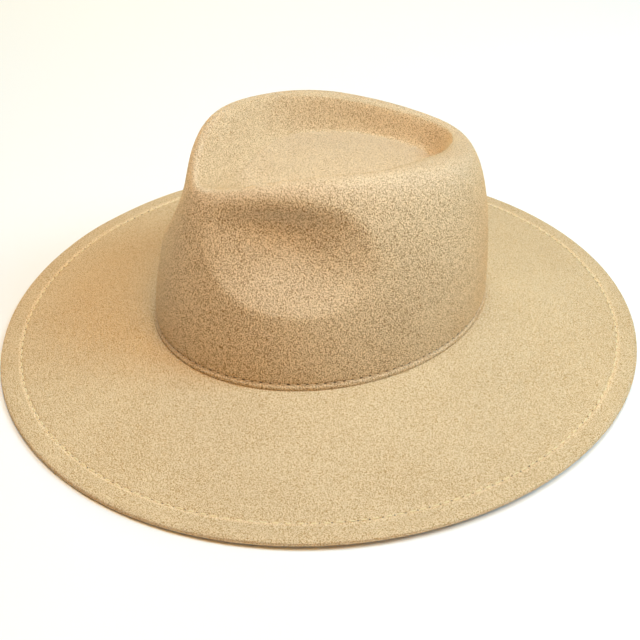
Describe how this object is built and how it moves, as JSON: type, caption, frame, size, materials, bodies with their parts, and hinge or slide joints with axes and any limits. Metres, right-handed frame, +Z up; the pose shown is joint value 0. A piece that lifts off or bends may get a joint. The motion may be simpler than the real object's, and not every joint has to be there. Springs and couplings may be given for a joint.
{
  "type": "rancher hat",
  "caption": "Wide-brimmed felt rancher hat with a teardrop crown, a deep top dent, side pinches near the front and a stitched brim edge.",
  "frame": {"origin": "on the surface that the hat stands on, below the middle of the crown's base oval", "axes": "+Z up, -Y towards the pinched front of the crown, +X towards the wearer's left"},
  "size_m": [0.36, 0.384, 0.129],
  "materials": {
    "crown_felt": "matt pressed felt with short fibres",
    "brim_felt": "matt pressed felt with short fibres"
  },
  "bodies": {
    "root": {"crown": "crown_felt", "brim": "brim_felt"}
  },
  "joints": []
}
